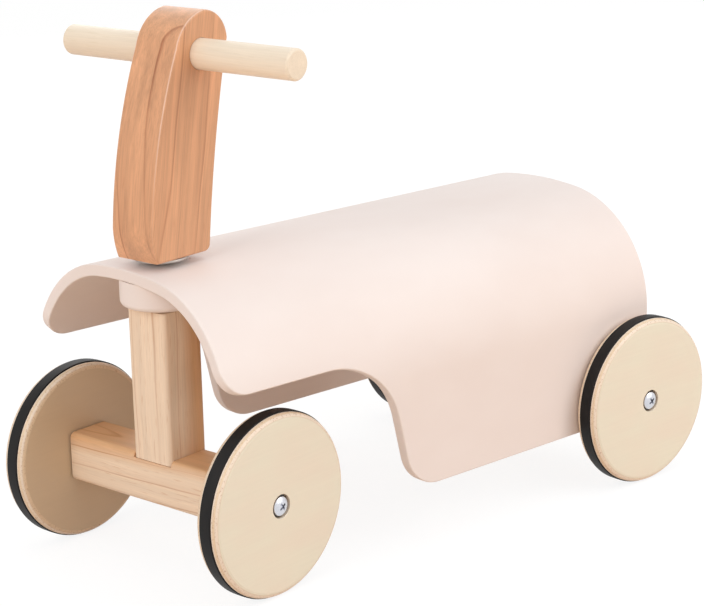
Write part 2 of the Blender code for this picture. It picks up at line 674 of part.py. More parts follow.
def wheel_set(word, parent, at, outward, seat):
    """One wheel with its tyre, bush, screw, washer and insert, about local Z with the inner face at 0.

    The seat is the height of the beam's end face, which the screw's shoulder and the insert stop at."""
    rim = WHEEL_R - RIM_ROUND
    groove_low = (WHEEL_T - TYRE_W) / 2
    groove_high = groove_low + TYRE_W
    groove_r = WHEEL_R - TYRE_DEEP
    disc = [(BUSH_R + FIT, COUNTERBORE_FLOOR), (COUNTERBORE_R, COUNTERBORE_FLOOR), (COUNTERBORE_R, WHEEL_T)]
    disc += arc((rim, WHEEL_T - RIM_ROUND), RIM_ROUND, math.pi / 2, 0.0, ARC_STEPS)
    disc += [(WHEEL_R, groove_high), (groove_r, groove_high), (groove_r, groove_low), (WHEEL_R, groove_low)]
    disc += arc((rim, RIM_ROUND), RIM_ROUND, 0.0, -math.pi / 2, ARC_STEPS)
    disc.append((BUSH_R + FIT, 0.0))
    wheel = turned(f"wheel_{word}", disc, BIRCH_PLY, WHEEL_SIDES, True)

    band = [
        (groove_r + FIT, groove_high - FIT),
        (TYRE_OUT_R - TYRE_EASE, groove_high - FIT),
        (TYRE_OUT_R, groove_high - FIT - TYRE_EASE),
        (TYRE_OUT_R, groove_low + FIT + TYRE_EASE),
        (TYRE_OUT_R - TYRE_EASE, groove_low + FIT),
        (groove_r + FIT, groove_low + FIT),
    ]
    tyre = turned(f"tyre_{word}", band, RUBBER, WHEEL_SIDES, True)

    bore = SHOULDER_R + FIT
    flange_low = COUNTERBORE_FLOOR + FIT
    flange_high = flange_low + BUSH_FLANGE_T
    flanged = [
        (bore, flange_high),
        (COUNTERBORE_R - FIT, flange_high),
        (COUNTERBORE_R - FIT, flange_low),
        (BUSH_R, flange_low),
        (BUSH_R, 0.0),
        (bore, 0.0),
    ]
    bush = turned(f"wheel_bush_{word}", flanged, NYLON, SMALL_SIDES, True)

    head_low = flange_high + FIT
    head_high = head_low + PAN_HEAD_H
    dome_r = (PAN_HEAD_R ** 2 + PAN_HEAD_CROWN ** 2) / (2 * PAN_HEAD_CROWN)
    dome_turn = math.asin(PAN_HEAD_R / dome_r)
    pin = arc((0.0, head_high - dome_r), dome_r, math.pi / 2, math.pi / 2 - dome_turn, ARC_STEPS)
    pin += [
        (PAN_HEAD_R, head_low),
        (SHOULDER_R, head_low),
        (SHOULDER_R, seat + FIT),
        (THREAD_R, seat + FIT),
        (THREAD_R, seat - THREAD_L),
        (0.0, seat - THREAD_L),
    ]
    screw = turned(f"wheel_screw_{word}", pin, ZINC, SCREW_SIDES, False)
    arm = RECESS_L / 2
    half = RECESS_W / 2
    cross = []
    for quarter in range(4):
        turn = Matrix.Rotation(quarter * math.pi / 2, 2)
        cross += [turn @ Vector(corner) for corner in ((arm, -half), (arm, half), (half, half))]
    trim(screw, prism("recess", cross, head_high - RECESS_DEEP, head_high + CUT_PAST, "Z", ZINC))

    washer = tube(f"wheel_washer_{word}", WASHER_R, bore, -FIT - WASHER_T, -FIT, ZINC, SMALL_SIDES)
    insert = tube(f"axle_insert_{word}", INSERT_R, THREAD_R + FIT, seat - INSERT_L, seat, ZINC, SMALL_SIDES)
    for made in (wheel, tyre, bush, screw, washer, insert):
        made.parent = parent
        made.location = at
        made.rotation_euler = (0.0, outward * math.pi / 2, 0.0)


# Front wheels turn on the steered beam, rear wheels on screws that pass through the shell's sides.
for outward, word in ((1, "left"), (-1, "right")):
    wheel_set(f"front_{word}", steering, (outward * FRONT_WHEEL_X, 0.0, AXLE_Z), outward, -WHEEL_STANDOFF)
    rear_at = (outward * REAR_WHEEL_X, FRONT_AXLE_Y + WHEELBASE, AXLE_Z)
    wheel_set(f"rear_{word}", None, rear_at, outward, REAR_BEAM_HALF - REAR_WHEEL_X)
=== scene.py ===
import math

import bmesh
import bpy
from mathutils import Matrix, Vector


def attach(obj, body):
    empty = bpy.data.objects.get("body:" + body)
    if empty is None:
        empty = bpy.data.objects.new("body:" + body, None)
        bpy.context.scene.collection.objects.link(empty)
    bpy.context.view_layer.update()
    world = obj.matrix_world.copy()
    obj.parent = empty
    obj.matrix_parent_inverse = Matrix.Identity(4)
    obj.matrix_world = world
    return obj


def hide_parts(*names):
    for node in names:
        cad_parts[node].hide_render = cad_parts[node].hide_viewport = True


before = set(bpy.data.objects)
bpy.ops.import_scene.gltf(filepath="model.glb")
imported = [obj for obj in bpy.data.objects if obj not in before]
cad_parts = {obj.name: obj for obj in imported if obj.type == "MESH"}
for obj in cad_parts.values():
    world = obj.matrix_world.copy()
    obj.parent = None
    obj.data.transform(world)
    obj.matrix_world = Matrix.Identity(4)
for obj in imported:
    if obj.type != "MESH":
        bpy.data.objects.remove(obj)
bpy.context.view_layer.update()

# Seat shell: one sheet of 10 mm plywood bent over a former into an arch, its outline cut with raised
# lobes over the front wheels and a deep skirt to the rear, edges eased by hand and sprayed matte blush.
SHELL_T = 0.010
SHELL_HALF_W = 0.130
SEAT_TOP = 0.2548
CROWN_R = 0.353
BEND_R = 0.0995
SHELL_EASE = 0.0012
FRONT_EDGE = 0.0345
LOBE_REACH = 0.0390
LOBE_Z = 0.1773
LOBE_ROUND = 0.022
NOTCH_ROUND = 0.073
NOTCH_LEAN = math.radians(13.0)
SKIRT_FRONT = 0.1505
SKIRT_Z = 0.0565
SKIRT_ROUND = 0.036
REAR_ROUND = 0.020
REAR_EDGE = 0.4393
FRONT_AXLE_Y = -0.2012222
WHEELBASE = 0.4183
AXLE_Z = 0.0758
BORE_R = 0.0083
SCREW_HOLE_R = 0.0043
BLOCK_SCREW_X = 0.02125
BLOCK_SCREW_R = 0.0023
GLUE = 0.0003
BEND_X = SHELL_HALF_W - BEND_R
CROWN_TURN = math.asin(BEND_X / (CROWN_R - BEND_R))
CROWN_CENTRE_Z = SEAT_TOP - CROWN_R
BEND_Z = CROWN_CENTRE_Z + (CROWN_R - BEND_R) * math.cos(CROWN_TURN)
CROWN_RUN = CROWN_R * CROWN_TURN
BEND_RUN = BEND_R * (math.pi / 2 - CROWN_TURN)


def linear(code):
    """An sRGB hex colour as linear red, green, blue and alpha."""
    parts = [int(code[i:i + 2], 16) / 255 for i in (1, 3, 5)]
    return [p / 12.92 if p <= 0.04045 else ((p + 0.055) / 1.055) ** 2.4 for p in parts] + [1.0]


def add(tree, kind, inputs=None, stops=None, **settings):
    """One node with its settings, its inputs as values or as sockets to link from, and any ramp stops."""
    node = tree.nodes.new("ShaderNode" + kind)
    for name, value in settings.items():
        setattr(node, name, value)
    for key, value in (inputs or {}).items():
        if isinstance(value, bpy.types.NodeSocket):
            tree.links.new(value, node.inputs[key])
        else:
            node.inputs[key].default_value = value
    for place, (at, code) in enumerate(stops or []):
        ramp = node.color_ramp.elements
        stop = ramp[place] if place < 2 else ramp.new(at)
        stop.position = at
        stop.color = linear(code)
    return node


def finish(name):
    """An empty node material: its tree and its output node."""
    made = bpy.data.materials.new(name)
    made.use_nodes = True
    made.node_tree.nodes.clear()
    return made, made.node_tree, add(made.node_tree, "OutputMaterial")


def arc(centre, radius, start, end, steps):
    """Points on an arc between two angles, both ends included."""
    angles = [start + (end - start) * i / steps for i in range(steps + 1)]
    return [(centre[0] + radius * math.cos(a), centre[1] + radius * math.sin(a)) for a in angles]


def board(outline, thickness, ease, steps):
    """A flat outline in XY given a thickness about Z = 0, with all its edges rounded."""
    flat = bpy.data.curves.new("board", "CURVE")
    flat.dimensions = "2D"
    flat.fill_mode = "BOTH"
    flat.extrude = thickness / 2 - ease
    flat.bevel_depth = ease
    flat.bevel_resolution = steps
    flat.offset = -ease
    spline = flat.splines.new("POLY")
    spline.points.add(len(outline) - 1)
    for point, (x, y) in zip(spline.points, outline):
        point.co = (x, y, 0.0, 1.0)
    spline.use_cyclic_u = True
    guide = bpy.data.objects.new("board", flat)
    bpy.context.scene.collection.objects.link(guide)
    bpy.context.view_layer.update()
    graph = bpy.context.evaluated_depsgraph_get()
    form = bmesh.new()
    form.from_mesh(bpy.data.meshes.new_from_object(guide.evaluated_get(graph)))
    bpy.data.objects.remove(guide)
    bmesh.ops.remove_doubles(form, verts=form.verts, dist=0.00001)
    bmesh.ops.recalc_face_normals(form, faces=form.faces)
    return form


def slice_along(form, axis, cuts):
    """Splits the faces of a board at each place along an axis."""
    normal = Vector((0.0, 0.0, 0.0))
    normal[axis] = 1.0
    for cut in cuts:
        every = form.verts[:] + form.edges[:] + form.faces[:]
        bmesh.ops.bisect_plane(form, geom=every, plane_co=normal * cut, plane_no=normal, dist=0.00002)


def cut(form, cutter):
    """Takes one solid out of another, and uses both up."""
    pair = []
    for solid in (form, cutter):
        mesh = bpy.data.meshes.new("cut")
        solid.to_mesh(mesh)
        solid.free()
        pair.append(bpy.data.objects.new("cut", mesh))
        bpy.context.scene.collection.objects.link(pair[-1])
    boolean = pair[0].modifiers.new("cut", "BOOLEAN")
    boolean.operation = "DIFFERENCE"
    boolean.solver = "EXACT"
    boolean.object = pair[1]
    bpy.context.view_layer.update()
    graph = bpy.context.evaluated_depsgraph_get()
    left = bmesh.new()
    left.from_mesh(bpy.data.meshes.new_from_object(pair[0].evaluated_get(graph)))
    for used in pair:
        bpy.data.objects.remove(used)
    bmesh.ops.remove_doubles(left, verts=left.verts, dist=0.000005)
    return left


def bore(form, radius, low, high, place):
    """A round hole through a form along the Z of its place, from low to high."""
    drill = bmesh.new()
    bmesh.ops.create_cone(
        drill, cap_ends=True, segments=48, radius1=radius, radius2=radius, depth=high - low,
        matrix=place @ Matrix.Translation((0.0, 0.0, (low + high) / 2)),
    )
    return cut(form, drill)


def piece(name, form, material, body, nodes, place=None, smooth=40.0):
    """A finished piece in its place, riding on its body and standing for its nodes."""
    mesh = bpy.data.meshes.new(name)
    form.to_mesh(mesh)
    form.free()
    mesh.materials.append(material)
    mesh.shade_smooth()
    mesh.set_sharp_from_angle(angle=math.radians(smooth))
    made = bpy.data.objects.new(name, mesh)
    bpy.context.scene.collection.objects.link(made)
    made.matrix_world = place or Matrix.Identity(4)
    even = made.modifiers.new("even_shading", "WEIGHTED_NORMAL")
    even.keep_sharp = True
    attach(made, body)
    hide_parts(*nodes)
    return made


# Sprayed matte acrylic on sanded plywood: an even blush with a very faint cloudiness, the finest
# pebbling from the spray (drawn at 1.5 mm so that it shows) and a trace of the veneer's grain under it.
blush_paint, tree, output = finish("sprayed_blush_acrylic")
place = add(tree, "TexCoord").outputs["Object"]
cloud_at = add(tree, "Mapping", {"Vector": place, "Scale": (1000 / 90, 1000 / 140, 1000 / 90)})
cloud = add(tree, "TexNoise", {"Vector": cloud_at.outputs[0], "Scale": 1.0, "Detail": 3.0})
tint = add(tree, "ValToRGB", {"Fac": cloud.outputs[0]}, [(0.32, "#EBDED8"), (0.68, "#EFE4DF")])
pebble_at = add(tree, "Mapping", {"Vector": place, "Scale": (1000 / 1.5, 1000 / 1.5, 1000 / 1.5)})
pebble = add(tree, "TexNoise", {"Vector": pebble_at.outputs[0], "Scale": 1.0, "Detail": 2.0})
veneer_at = add(tree, "Mapping", {"Vector": place, "Scale": (1000 / 3.5, 1000 / 120, 1000 / 3.5)})
veneer = add(tree, "TexNoise", {"Vector": veneer_at.outputs[0], "Scale": 1.0, "Detail": 3.0})
relief = add(tree, "Math", {0: veneer.outputs[0], 1: 0.8, 2: pebble.outputs[0]}, operation="MULTIPLY_ADD")
sheen = add(tree, "MapRange", {"Value": pebble.outputs[0], "To Min": 0.48, "To Max": 0.58})
spray = add(tree, "Bump", {"Height": relief.outputs[0], "Strength": 0.25, "Distance": 0.00012})
paint = add(tree, "BsdfPrincipled", {
    "Base Color": tint.outputs[0],
    "Roughness": sheen.outputs[0],
    "IOR": 1.46,
    "Specular IOR Level": 0.35,
    "Normal": spray.outputs[0],
})
tree.links.new(paint.outputs[0], output.inputs[0])


def outer_face(run):
    """The arch's outer face at a distance along it from mid crown: across, up and how far it has turned."""
    if run < CROWN_RUN:
        turn = run / CROWN_R
        return CROWN_R * math.sin(turn), CROWN_CENTRE_Z + CROWN_R * math.cos(turn), turn
    if run < CROWN_RUN + BEND_RUN:
        turn = CROWN_TURN + (run - CROWN_RUN) / BEND_R
        return BEND_X + BEND_R * math.sin(turn), BEND_Z + BEND_R * math.cos(turn), turn
    return SHELL_HALF_W, BEND_Z - (run - CROWN_RUN - BEND_RUN), math.pi / 2


def run_at(z):
    """How far along the arch, from the middle of the crown, its outer face is at a height."""
    if z >= BEND_Z:
        return CROWN_RUN + BEND_R * (math.acos((z - BEND_Z) / BEND_R) - CROWN_TURN)
    return CROWN_RUN + BEND_RUN + BEND_Z - z


slope = (LOBE_REACH - FRONT_EDGE) / (SEAT_TOP - LOBE_Z)
front_lean = math.atan(slope)
lobe_tuck = LOBE_ROUND * math.tan((math.pi / 2 + front_lean) / 2)
lobe_centre = (-LOBE_REACH + lobe_tuck, LOBE_Z + LOBE_ROUND)
lean_y, lean_z = math.cos(NOTCH_LEAN), math.sin(NOTCH_LEAN)
reach = lean_y * SKIRT_FRONT + lean_z * SKIRT_Z
notch_z = LOBE_Z - NOTCH_ROUND
notch_centre = ((reach - NOTCH_ROUND - lean_z * notch_z) / lean_y, notch_z)
skirt_z = SKIRT_Z + SKIRT_ROUND
skirt_centre = ((reach + SKIRT_ROUND - lean_z * skirt_z) / lean_y, skirt_z)
rear_centre = (REAR_EDGE - REAR_ROUND, SKIRT_Z + REAR_ROUND)
lower_edge = arc(lobe_centre, LOBE_ROUND, math.pi - front_lean, 1.5 * math.pi, 12)
lower_edge += arc(notch_centre, NOTCH_ROUND, math.pi / 2, NOTCH_LEAN, 24)
lower_edge += arc(skirt_centre, SKIRT_ROUND, math.pi + NOTCH_LEAN, 1.5 * math.pi, 16)
lower_edge += arc(rear_centre, REAR_ROUND, -math.pi / 2, 0.0, 12)
lobe_run = run_at(lower_edge[0][1])
half = []
for i in range(25):
    run = lobe_run * i / 25
    half.append((run, -FRONT_EDGE - slope * (SEAT_TOP - outer_face(run)[1])))
half += [(run_at(z), y) for y, z in lower_edge]
half.append((0.0, REAR_EDGE))
sheet = half + [(-run, y) for run, y in reversed(half[1:-1])]
form = board(sheet, SHELL_T, SHELL_EASE, 3)
bend_end = CROWN_RUN + BEND_RUN
slice_along(form, 0, [sign * bend_end * i / 60 for i in range(61) for sign in (1, -1) if i or sign > 0])
slice_along(form, 1, [-LOBE_REACH + (REAR_EDGE + LOBE_REACH) * i / 24 for i in range(1, 24)])
for vert in form.verts:
    run, back, height = vert.co
    across, up, turn = outer_face(abs(run))
    depth = SHELL_T / 2 - height
    across -= depth * math.sin(turn)
    up -= depth * math.cos(turn)
    vert.co = (math.copysign(across, run), back + FRONT_AXLE_Y, up)
bmesh.ops.recalc_face_normals(form, faces=form.faces)
on_axis = Matrix.Translation((0.0, FRONT_AXLE_Y, 0.0))
ALONG_X = Matrix(((0, 0, 1), (1, 0, 0), (0, 1, 0))).to_4x4()
form = bore(form, BORE_R, SEAT_TOP - 2 * SHELL_T, SEAT_TOP + SHELL_T, on_axis)
for side in (1, -1):
    pilot = on_axis @ Matrix.Translation((side * BLOCK_SCREW_X, 0.0, 0.0))
    form = bore(form, BLOCK_SCREW_R, SEAT_TOP - 2 * SHELL_T, SEAT_TOP - SHELL_T / 2 + GLUE, pilot)
    screw_way = on_axis @ Matrix.Translation((side * SHELL_HALF_W, WHEELBASE, AXLE_Z)) @ ALONG_X
    form = bore(form, SCREW_HOLE_R, -2 * SHELL_T, 2 * SHELL_T, screw_way)
piece("painted_seat_shell", form, blush_paint, "frame", ["seat_shell"])


# Steering block: a turned disc under the crown, glued and screwed to the shell and painted with it.
# Its top is hollowed to the crown, its lower edge is rounded over.
BLOCK_R = 0.0345
BLOCK_H = 0.023
BLOCK_ROUND = 0.005
BLOCK_HEAD_R = 0.0043
BLOCK_HEAD_H = 0.0036
INNER_CROWN = SEAT_TOP - SHELL_T
BLOCK_BOTTOM = INNER_CROWN - BLOCK_H


def turned(profile, sides, ring):
    """A lathe shape about Z from (radius, height) points."""
    form = bmesh.new()
    line = [form.verts.new((radius, 0.0, height)) for radius, height in profile]
    pairs = list(zip(line, line[1:])) + ([(line[-1], line[0])] if ring else [])
    edges = [form.edges.new(pair) for pair in pairs]
    bmesh.ops.spin(form, geom=line + edges, axis=(0, 0, 1), cent=(0, 0, 0), angle=2 * math.pi, steps=sides)
    bmesh.ops.remove_doubles(form, verts=form.verts, dist=0.000005)
    bmesh.ops.recalc_face_normals(form, faces=form.faces)
    return form


rings = [BORE_R + (BLOCK_R - BORE_R) * i / 8 for i in range(9)]
profile = [(radius, INNER_CROWN) for radius in rings]
profile += arc((BLOCK_R - BLOCK_ROUND, BLOCK_BOTTOM + BLOCK_ROUND), BLOCK_ROUND, 0.0, -math.pi / 2, 8)
profile.append((BORE_R, BLOCK_BOTTOM))
form = turned(profile, 96, True)
for vert in form.verts:
    if vert.co.z > INNER_CROWN - GLUE:
        vert.co.z = CROWN_CENTRE_Z + math.sqrt((CROWN_R - SHELL_T - GLUE) ** 2 - vert.co.x ** 2)
for side in (1, -1):
    pilot = Matrix.Translation((side * BLOCK_SCREW_X, 0.0, BLOCK_BOTTOM))
    form = bore(form, BLOCK_HEAD_R, -BLOCK_H, BLOCK_HEAD_H, pilot)
    form = bore(form, BLOCK_SCREW_R, 0.0, 2 * BLOCK_H, pilot)
piece("painted_steering_block", form, blush_paint, "frame", ["steering_block"], on_axis)


# Front carriage: a beam and a column of 42 mm planed pine, oiled. The beam's long edges are rounded
# over, and the column stands in a shallow housing across its top, held by screws from below. The hidden
# beam between the rear wheels is of the same pine.
STOCK = 0.042
STOCK_ROUND = 0.005
COLUMN_ROUND = 0.004
SAWN_EASE = 0.0006
BEAM_HALF = 0.098
SOCKET_R = 0.0063
SOCKET_L = 0.0203
SLEEVE_L = 0.0483
COLUMN_SCREW_X = 0.011
COLUMN_SCREW_R = 0.0028
COLUMN_HEAD_R = 0.0048
COLUMN_HEAD_H = 0.0036
COLUMN_SCREW_BITE = 0.0353
HOUSING_DEEP = 0.005
COLUMN_WASHER_T = 0.0015
COLUMN_TOP = BLOCK_BOTTOM - 2 * GLUE - COLUMN_WASHER_T
BEAM_TOP = AXLE_Z + STOCK / 2
COLUMN_FOOT = BEAM_TOP - HOUSING_DEEP + GLUE
STEER = math.radians(8.2)
straight = on_axis @ Matrix.Rotation(STEER, 4, "Z")


def solid_wood(name, grain, pith, heart_mm, rings, fibre_mm, tones, lines, streaks, gloss, edge_highlight_mm=0.0):
    """Oiled solid wood: rings round a pith that leans, fibres along the grain and short dark pores.

    The grain turns the wood so that its fibres run along Z. The pith is a place and a lean in that
    turned wood, in mm and radians; the rings are their spacing in mm, the share of it that is late wood
    and how uneven they are. The tones are the pale wood, its ring lines, its pores and the darker heart,
    which reaches heart_mm from the pith; lines say how strongly the rings show, and streaks the fibres
    and the broad bands 8 mm wide that they lie in. The last argument, on a post, is how far from the middle
    plane a band on its eased edges gets a pale painted highlight, stronger towards the head."""
    made, tree, output = finish(name)
    place = add(tree, "TexCoord").outputs["Object"]
    turned_mm = add(tree, "Mapping", {"Vector": place, "Rotation": grain, "Scale": (1000.0, 1000.0, 1000.0)})
    in_mm = turned_mm.outputs[0]
    sway_at = add(tree, "Mapping", {"Vector": in_mm, "Scale": (1 / 34, 1 / 34, 1 / 130)})
    sway = add(tree, "TexNoise", {"Vector": sway_at.outputs[0], "Scale": 1.0, "Detail": 2.0})
    swung = add(tree, "VectorMath", {
        0: sway.outputs["Color"], 1: (7.0, 7.0, 0.0), 2: in_mm,
    }, operation="MULTIPLY_ADD")
    from_pith = add(tree, "Mapping", {"Vector": swung.outputs[0], "Location": pith[0], "Rotation": pith[1]})
    flat = add(tree, "VectorMath", {0: from_pith.outputs[0], 1: (1.0, 1.0, 0.0)}, operation="MULTIPLY")
    radius = add(tree, "VectorMath", {0: flat.outputs[0]}, operation="LENGTH")
    count = add(tree, "Math", {0: radius.outputs["Value"], 1: rings[0]}, operation="DIVIDE")
    pace = add(tree, "TexNoise", {"W": count.outputs[0], "Scale": 0.55, "Detail": 1.0}, noise_dimensions="1D")
    uneven = add(tree, "Math", {
        0: pace.outputs[0], 1: rings[2], 2: count.outputs[0],
    }, operation="MULTIPLY_ADD")
    year = add(tree, "Math", {0: uneven.outputs[0]}, operation="FRACT")
    late = add(tree, "ValToRGB", {"Fac": year.outputs[0]}, [
        (0.0, "#3A3A3A"), (0.10, "#101010"), (0.55, "#303030"), (1.0 - rings[1], "#7A7A7A"),
        (1.0 - rings[1] / 3, "#FFFFFF"), (1.0, "#3A3A3A"),
    ])
    fade_at = add(tree, "Mapping", {"Vector": swung.outputs[0], "Scale": (1 / 22, 1 / 22, 1 / 160)})
    fade = add(tree, "TexNoise", {"Vector": fade_at.outputs[0], "Scale": 1.0, "Detail": 1.0})
    faded = add(tree, "MapRange", {
        "Value": fade.outputs[0], "From Min": 0.35, "From Max": 0.65, "To Min": 0.25, "To Max": 1.0,
    })
    ring = add(tree, "Math", {0: late.outputs[0], 1: faded.outputs[0]}, operation="MULTIPLY")
    ring_share = add(tree, "Math", {0: ring.outputs[0], 1: lines}, operation="MULTIPLY")
    fine = (1 / fibre_mm, 1 / fibre_mm, 1 / (fibre_mm * 45))
    fibre_at = add(tree, "Mapping", {"Vector": swung.outputs[0], "Scale": fine})
    fibre = add(tree, "TexNoise", {"Vector": fibre_at.outputs[0], "Scale": 1.0, "Detail": 4.0})
    pore_at = add(tree, "Mapping", {"Vector": swung.outputs[0], "Scale": (1 / 0.9, 1 / 0.9, 1 / 16)})
    pore = add(tree, "TexNoise", {"Vector": pore_at.outputs[0], "Scale": 1.0, "Detail": 1.0})
    fleck = add(tree, "MapRange", {
        "Value": pore.outputs[0], "From Min": 0.62, "From Max": 0.74, "To Max": 0.45,
    })
    heart = add(tree, "MapRange", {
        "Value": radius.outputs["Value"], "From Min": heart_mm + 5, "From Max": heart_mm - 5,
    })
    body = add(tree, "Mix", {0: heart.outputs[0], 6: linear(tones[0]), 7: linear(tones[3])}, data_type="RGBA")
    ringed = add(tree, "Mix", {
        0: ring_share.outputs[0], 6: body.outputs[2], 7: linear(tones[1]),
    }, data_type="RGBA")
    streak = add(tree, "MapRange", {
        "Value": fibre.outputs[0], "From Min": 0.3, "From Max": 0.7,
        "To Min": 1 - streaks, "To Max": 1 + streaks,
    })
    band_at = add(tree, "Mapping", {"Vector": swung.outputs[0], "Scale": (1 / 8, 1 / 8, 1 / 220)})
    band = add(tree, "TexNoise", {"Vector": band_at.outputs[0], "Scale": 1.0, "Detail": 1.0})
    banding = add(tree, "MapRange", {
        "Value": band.outputs[0], "From Min": 0.3, "From Max": 0.7,
        "To Min": 1 - streaks, "To Max": 1 + streaks,
    })
    shade = add(tree, "Math", {0: streak.outputs[0], 1: banding.outputs[0]}, operation="MULTIPLY")
    streaked = add(tree, "VectorMath", {0: ringed.outputs[2], "Scale": shade.outputs[0]}, operation="SCALE")
    tone = add(tree, "Mix", {
        0: fleck.outputs[0], 6: streaked.outputs[0], 7: linear(tones[2]),
    }, data_type="RGBA")
    # Painted highlight: a pale band along the post's eased edges, stronger towards the head.
    if edge_highlight_mm:
        axes = add(tree, "SeparateXYZ", {0: in_mm})
        across = add(tree, "Math", {0: axes.outputs[0]}, operation="ABSOLUTE")
        edge = add(tree, "Math", {0: across.outputs[0], 1: edge_highlight_mm, 2: 0.5}, operation="COMPARE")
        highlight_towards_head = add(tree, "MapRange", {
            "Value": axes.outputs[2], "From Min": 300.0, "From Max": 370.0, "To Min": 0.08, "To Max": 0.5,
        })
        painted_highlight = add(tree, "Math", {0: edge.outputs[0], 1: highlight_towards_head.outputs[0]}, operation="MULTIPLY")
        tone = add(tree, "Mix", {
            0: painted_highlight.outputs[0], 6: tone.outputs[2], 7: linear("#F3D3C0"),
        }, data_type="RGBA")
    rough = add(tree, "MapRange", {"Value": fibre.outputs[0], "To Min": gloss, "To Max": gloss + 0.14})
    hollow = add(tree, "Math", {0: fleck.outputs[0], 1: -1.5, 2: fibre.outputs[0]}, operation="MULTIPLY_ADD")
    bump = add(tree, "Bump", {"Height": hollow.outputs[0], "Strength": 0.3, "Distance": 0.0002})
    wood = add(tree, "BsdfPrincipled", {
        "Base Color": tone.outputs[2],
        "Roughness": rough.outputs[0],
        "IOR": 1.48,
        "Specular IOR Level": 0.4,
        "Normal": bump.outputs[0],
    })
    tree.links.new(wood.outputs[0], output.inputs[0])
    return made


def rounded_square(size, radius, steps):
    """A square outline with round corners about the origin."""
    points = []
    for quarter in range(4):
        start = quarter * math.pi / 2
        corner = [(size / 2 - radius) * math.sqrt(2) * f(start + math.pi / 4) for f in (math.cos, math.sin)]
        points += arc(corner, radius, start, start + math.pi / 2, steps)
    return points


# Planed pine under oil: pale peach wood with a few thin red-brown ring lines, about 15 mm apart.
PINE_TONES = ("#F0D9C0", "#B97F50", "#CFA27A", "#DDAF83")
# On the beam the pith lies about 46 mm above its middle, so its top face falls in the darker heart with tight
# rings: partly the wood's own figure, partly painted shade for the shadow the seat casts on it.
beam_pine = solid_wood(
    "oiled_pine_beam", (0.0, math.pi / 2, 0.0), ((-46.0, 0.0, 0.0), (0.03, 0.05, 0.0)), 33.0,
    (14.0, 0.10, 1.0), 1.3, PINE_TONES, 0.85, 0.05, 0.38,
)
column_pine = solid_wood(
    "oiled_pine_column", (0.0, 0.0, 0.0), ((-46.0, -26.0, 0.0), (0.02, 0.03, 0.0)), 30.0,
    (16.0, 0.09, 1.0), 1.3, PINE_TONES, 0.6, 0.05, 0.38,
)
form = board(rounded_square(STOCK, STOCK_ROUND, 8), 2 * BEAM_HALF, SAWN_EASE, 2)
housing = bmesh.new()
bmesh.ops.create_cube(housing, size=1.0)
bmesh.ops.scale(housing, verts=housing.verts, vec=(2 * STOCK, 2 * HOUSING_DEEP, STOCK + 2 * GLUE))
bmesh.ops.translate(housing, verts=housing.verts, vec=(0.0, STOCK / 2, 0.0))
form = cut(form, housing)
for side in (1, -1):
    ends = sorted((side * 2 * BEAM_HALF, side * (BEAM_HALF - SOCKET_L)))
    form = bore(form, SOCKET_R, *ends, Matrix.Identity(4))
bmesh.ops.transform(form, matrix=ALONG_X, verts=form.verts)
for side in (1, -1):
    pilot = Matrix.Translation((side * COLUMN_SCREW_X, 0.0, -STOCK / 2))
    form = bore(form, COLUMN_HEAD_R, -STOCK, COLUMN_HEAD_H, pilot)
    form = bore(form, COLUMN_SCREW_R, 0.0, 2 * STOCK, pilot)
beam_place = straight @ Matrix.Translation((0.0, 0.0, AXLE_Z))
piece("pine_axle_beam", form, beam_pine, "steering", ["front_axle_beam"], beam_place)
form = board(rounded_square(STOCK, COLUMN_ROUND, 8), COLUMN_TOP - COLUMN_FOOT, SAWN_EASE, 2)
column_half = (COLUMN_TOP - COLUMN_FOOT) / 2
form = bore(form, BORE_R, column_half - SLEEVE_L, 2 * column_half, Matrix.Identity(4))
for side in (1, -1):
    pilot = Matrix.Translation((side * COLUMN_SCREW_X, 0.0, -column_half))
    form = bore(form, COLUMN_SCREW_R, -STOCK, COLUMN_SCREW_BITE, pilot)
column_place = straight @ Matrix.Translation((0.0, 0.0, (COLUMN_TOP + COLUMN_FOOT) / 2))
piece("pine_steering_column", form, column_pine, "steering", ["steering_column"], column_place)


def coat(name, material):
    """Gives a solid of the frame that stays in the scene its material."""
    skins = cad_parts[name].data.materials
    skins.clear()
    skins.append(material)


coat("rear_axle_beam", beam_pine)


# Handle post: 46 mm red-brown hardwood sawn to a swept-back outline, its edges rounded over and oiled,
# with a hole through the head for the bar.
HANDLE_W = 0.046
HANDLE_EASE = 0.0018
HANDLE_FOOT = 0.2615
HANDLE_TOP = 0.4532
FOOT_FRONT = 0.0300
FOOT_BACK = 0.0335
TOE_RISE = 0.0245
TOE_TUCK = 0.0045
HEEL_ROUND = 0.006
TOP_BACK = 0.0365
NOSE = (0.005, HANDLE_TOP - 0.027)
NAPE = (0.062, HANDLE_TOP - 0.0245)
BACK_HOLLOW = 0.0028
NAPE_BULGE = 0.0070
NOSE_BULGE = 0.0062
FRONT_BULGE = 0.0060
BAR_R = 0.0125
BAR_AT = (0.0315, HANDLE_TOP - 0.0338)


def bowed(start, end, bulge, steps):
    """An arc from start to end that stands off its chord by the bulge, to the right of the way it runs."""
    (x0, y0), (x1, y1) = start, end
    chord = math.hypot(x1 - x0, y1 - y0)
    right = ((y1 - y0) / chord, -(x1 - x0) / chord)
    radius = (chord ** 2 / 4 + bulge ** 2) / (2 * bulge)
    centre = [(a + b) / 2 + r * (bulge - radius) for a, b, r in zip(start, end, right)]
    first = math.atan2(y0 - centre[1], x0 - centre[0])
    last = math.atan2(y1 - centre[1], x1 - centre[0])
    turn = (last - first + math.pi) % (2 * math.pi) - math.pi
    return arc(centre, abs(radius), first, first + turn, steps)


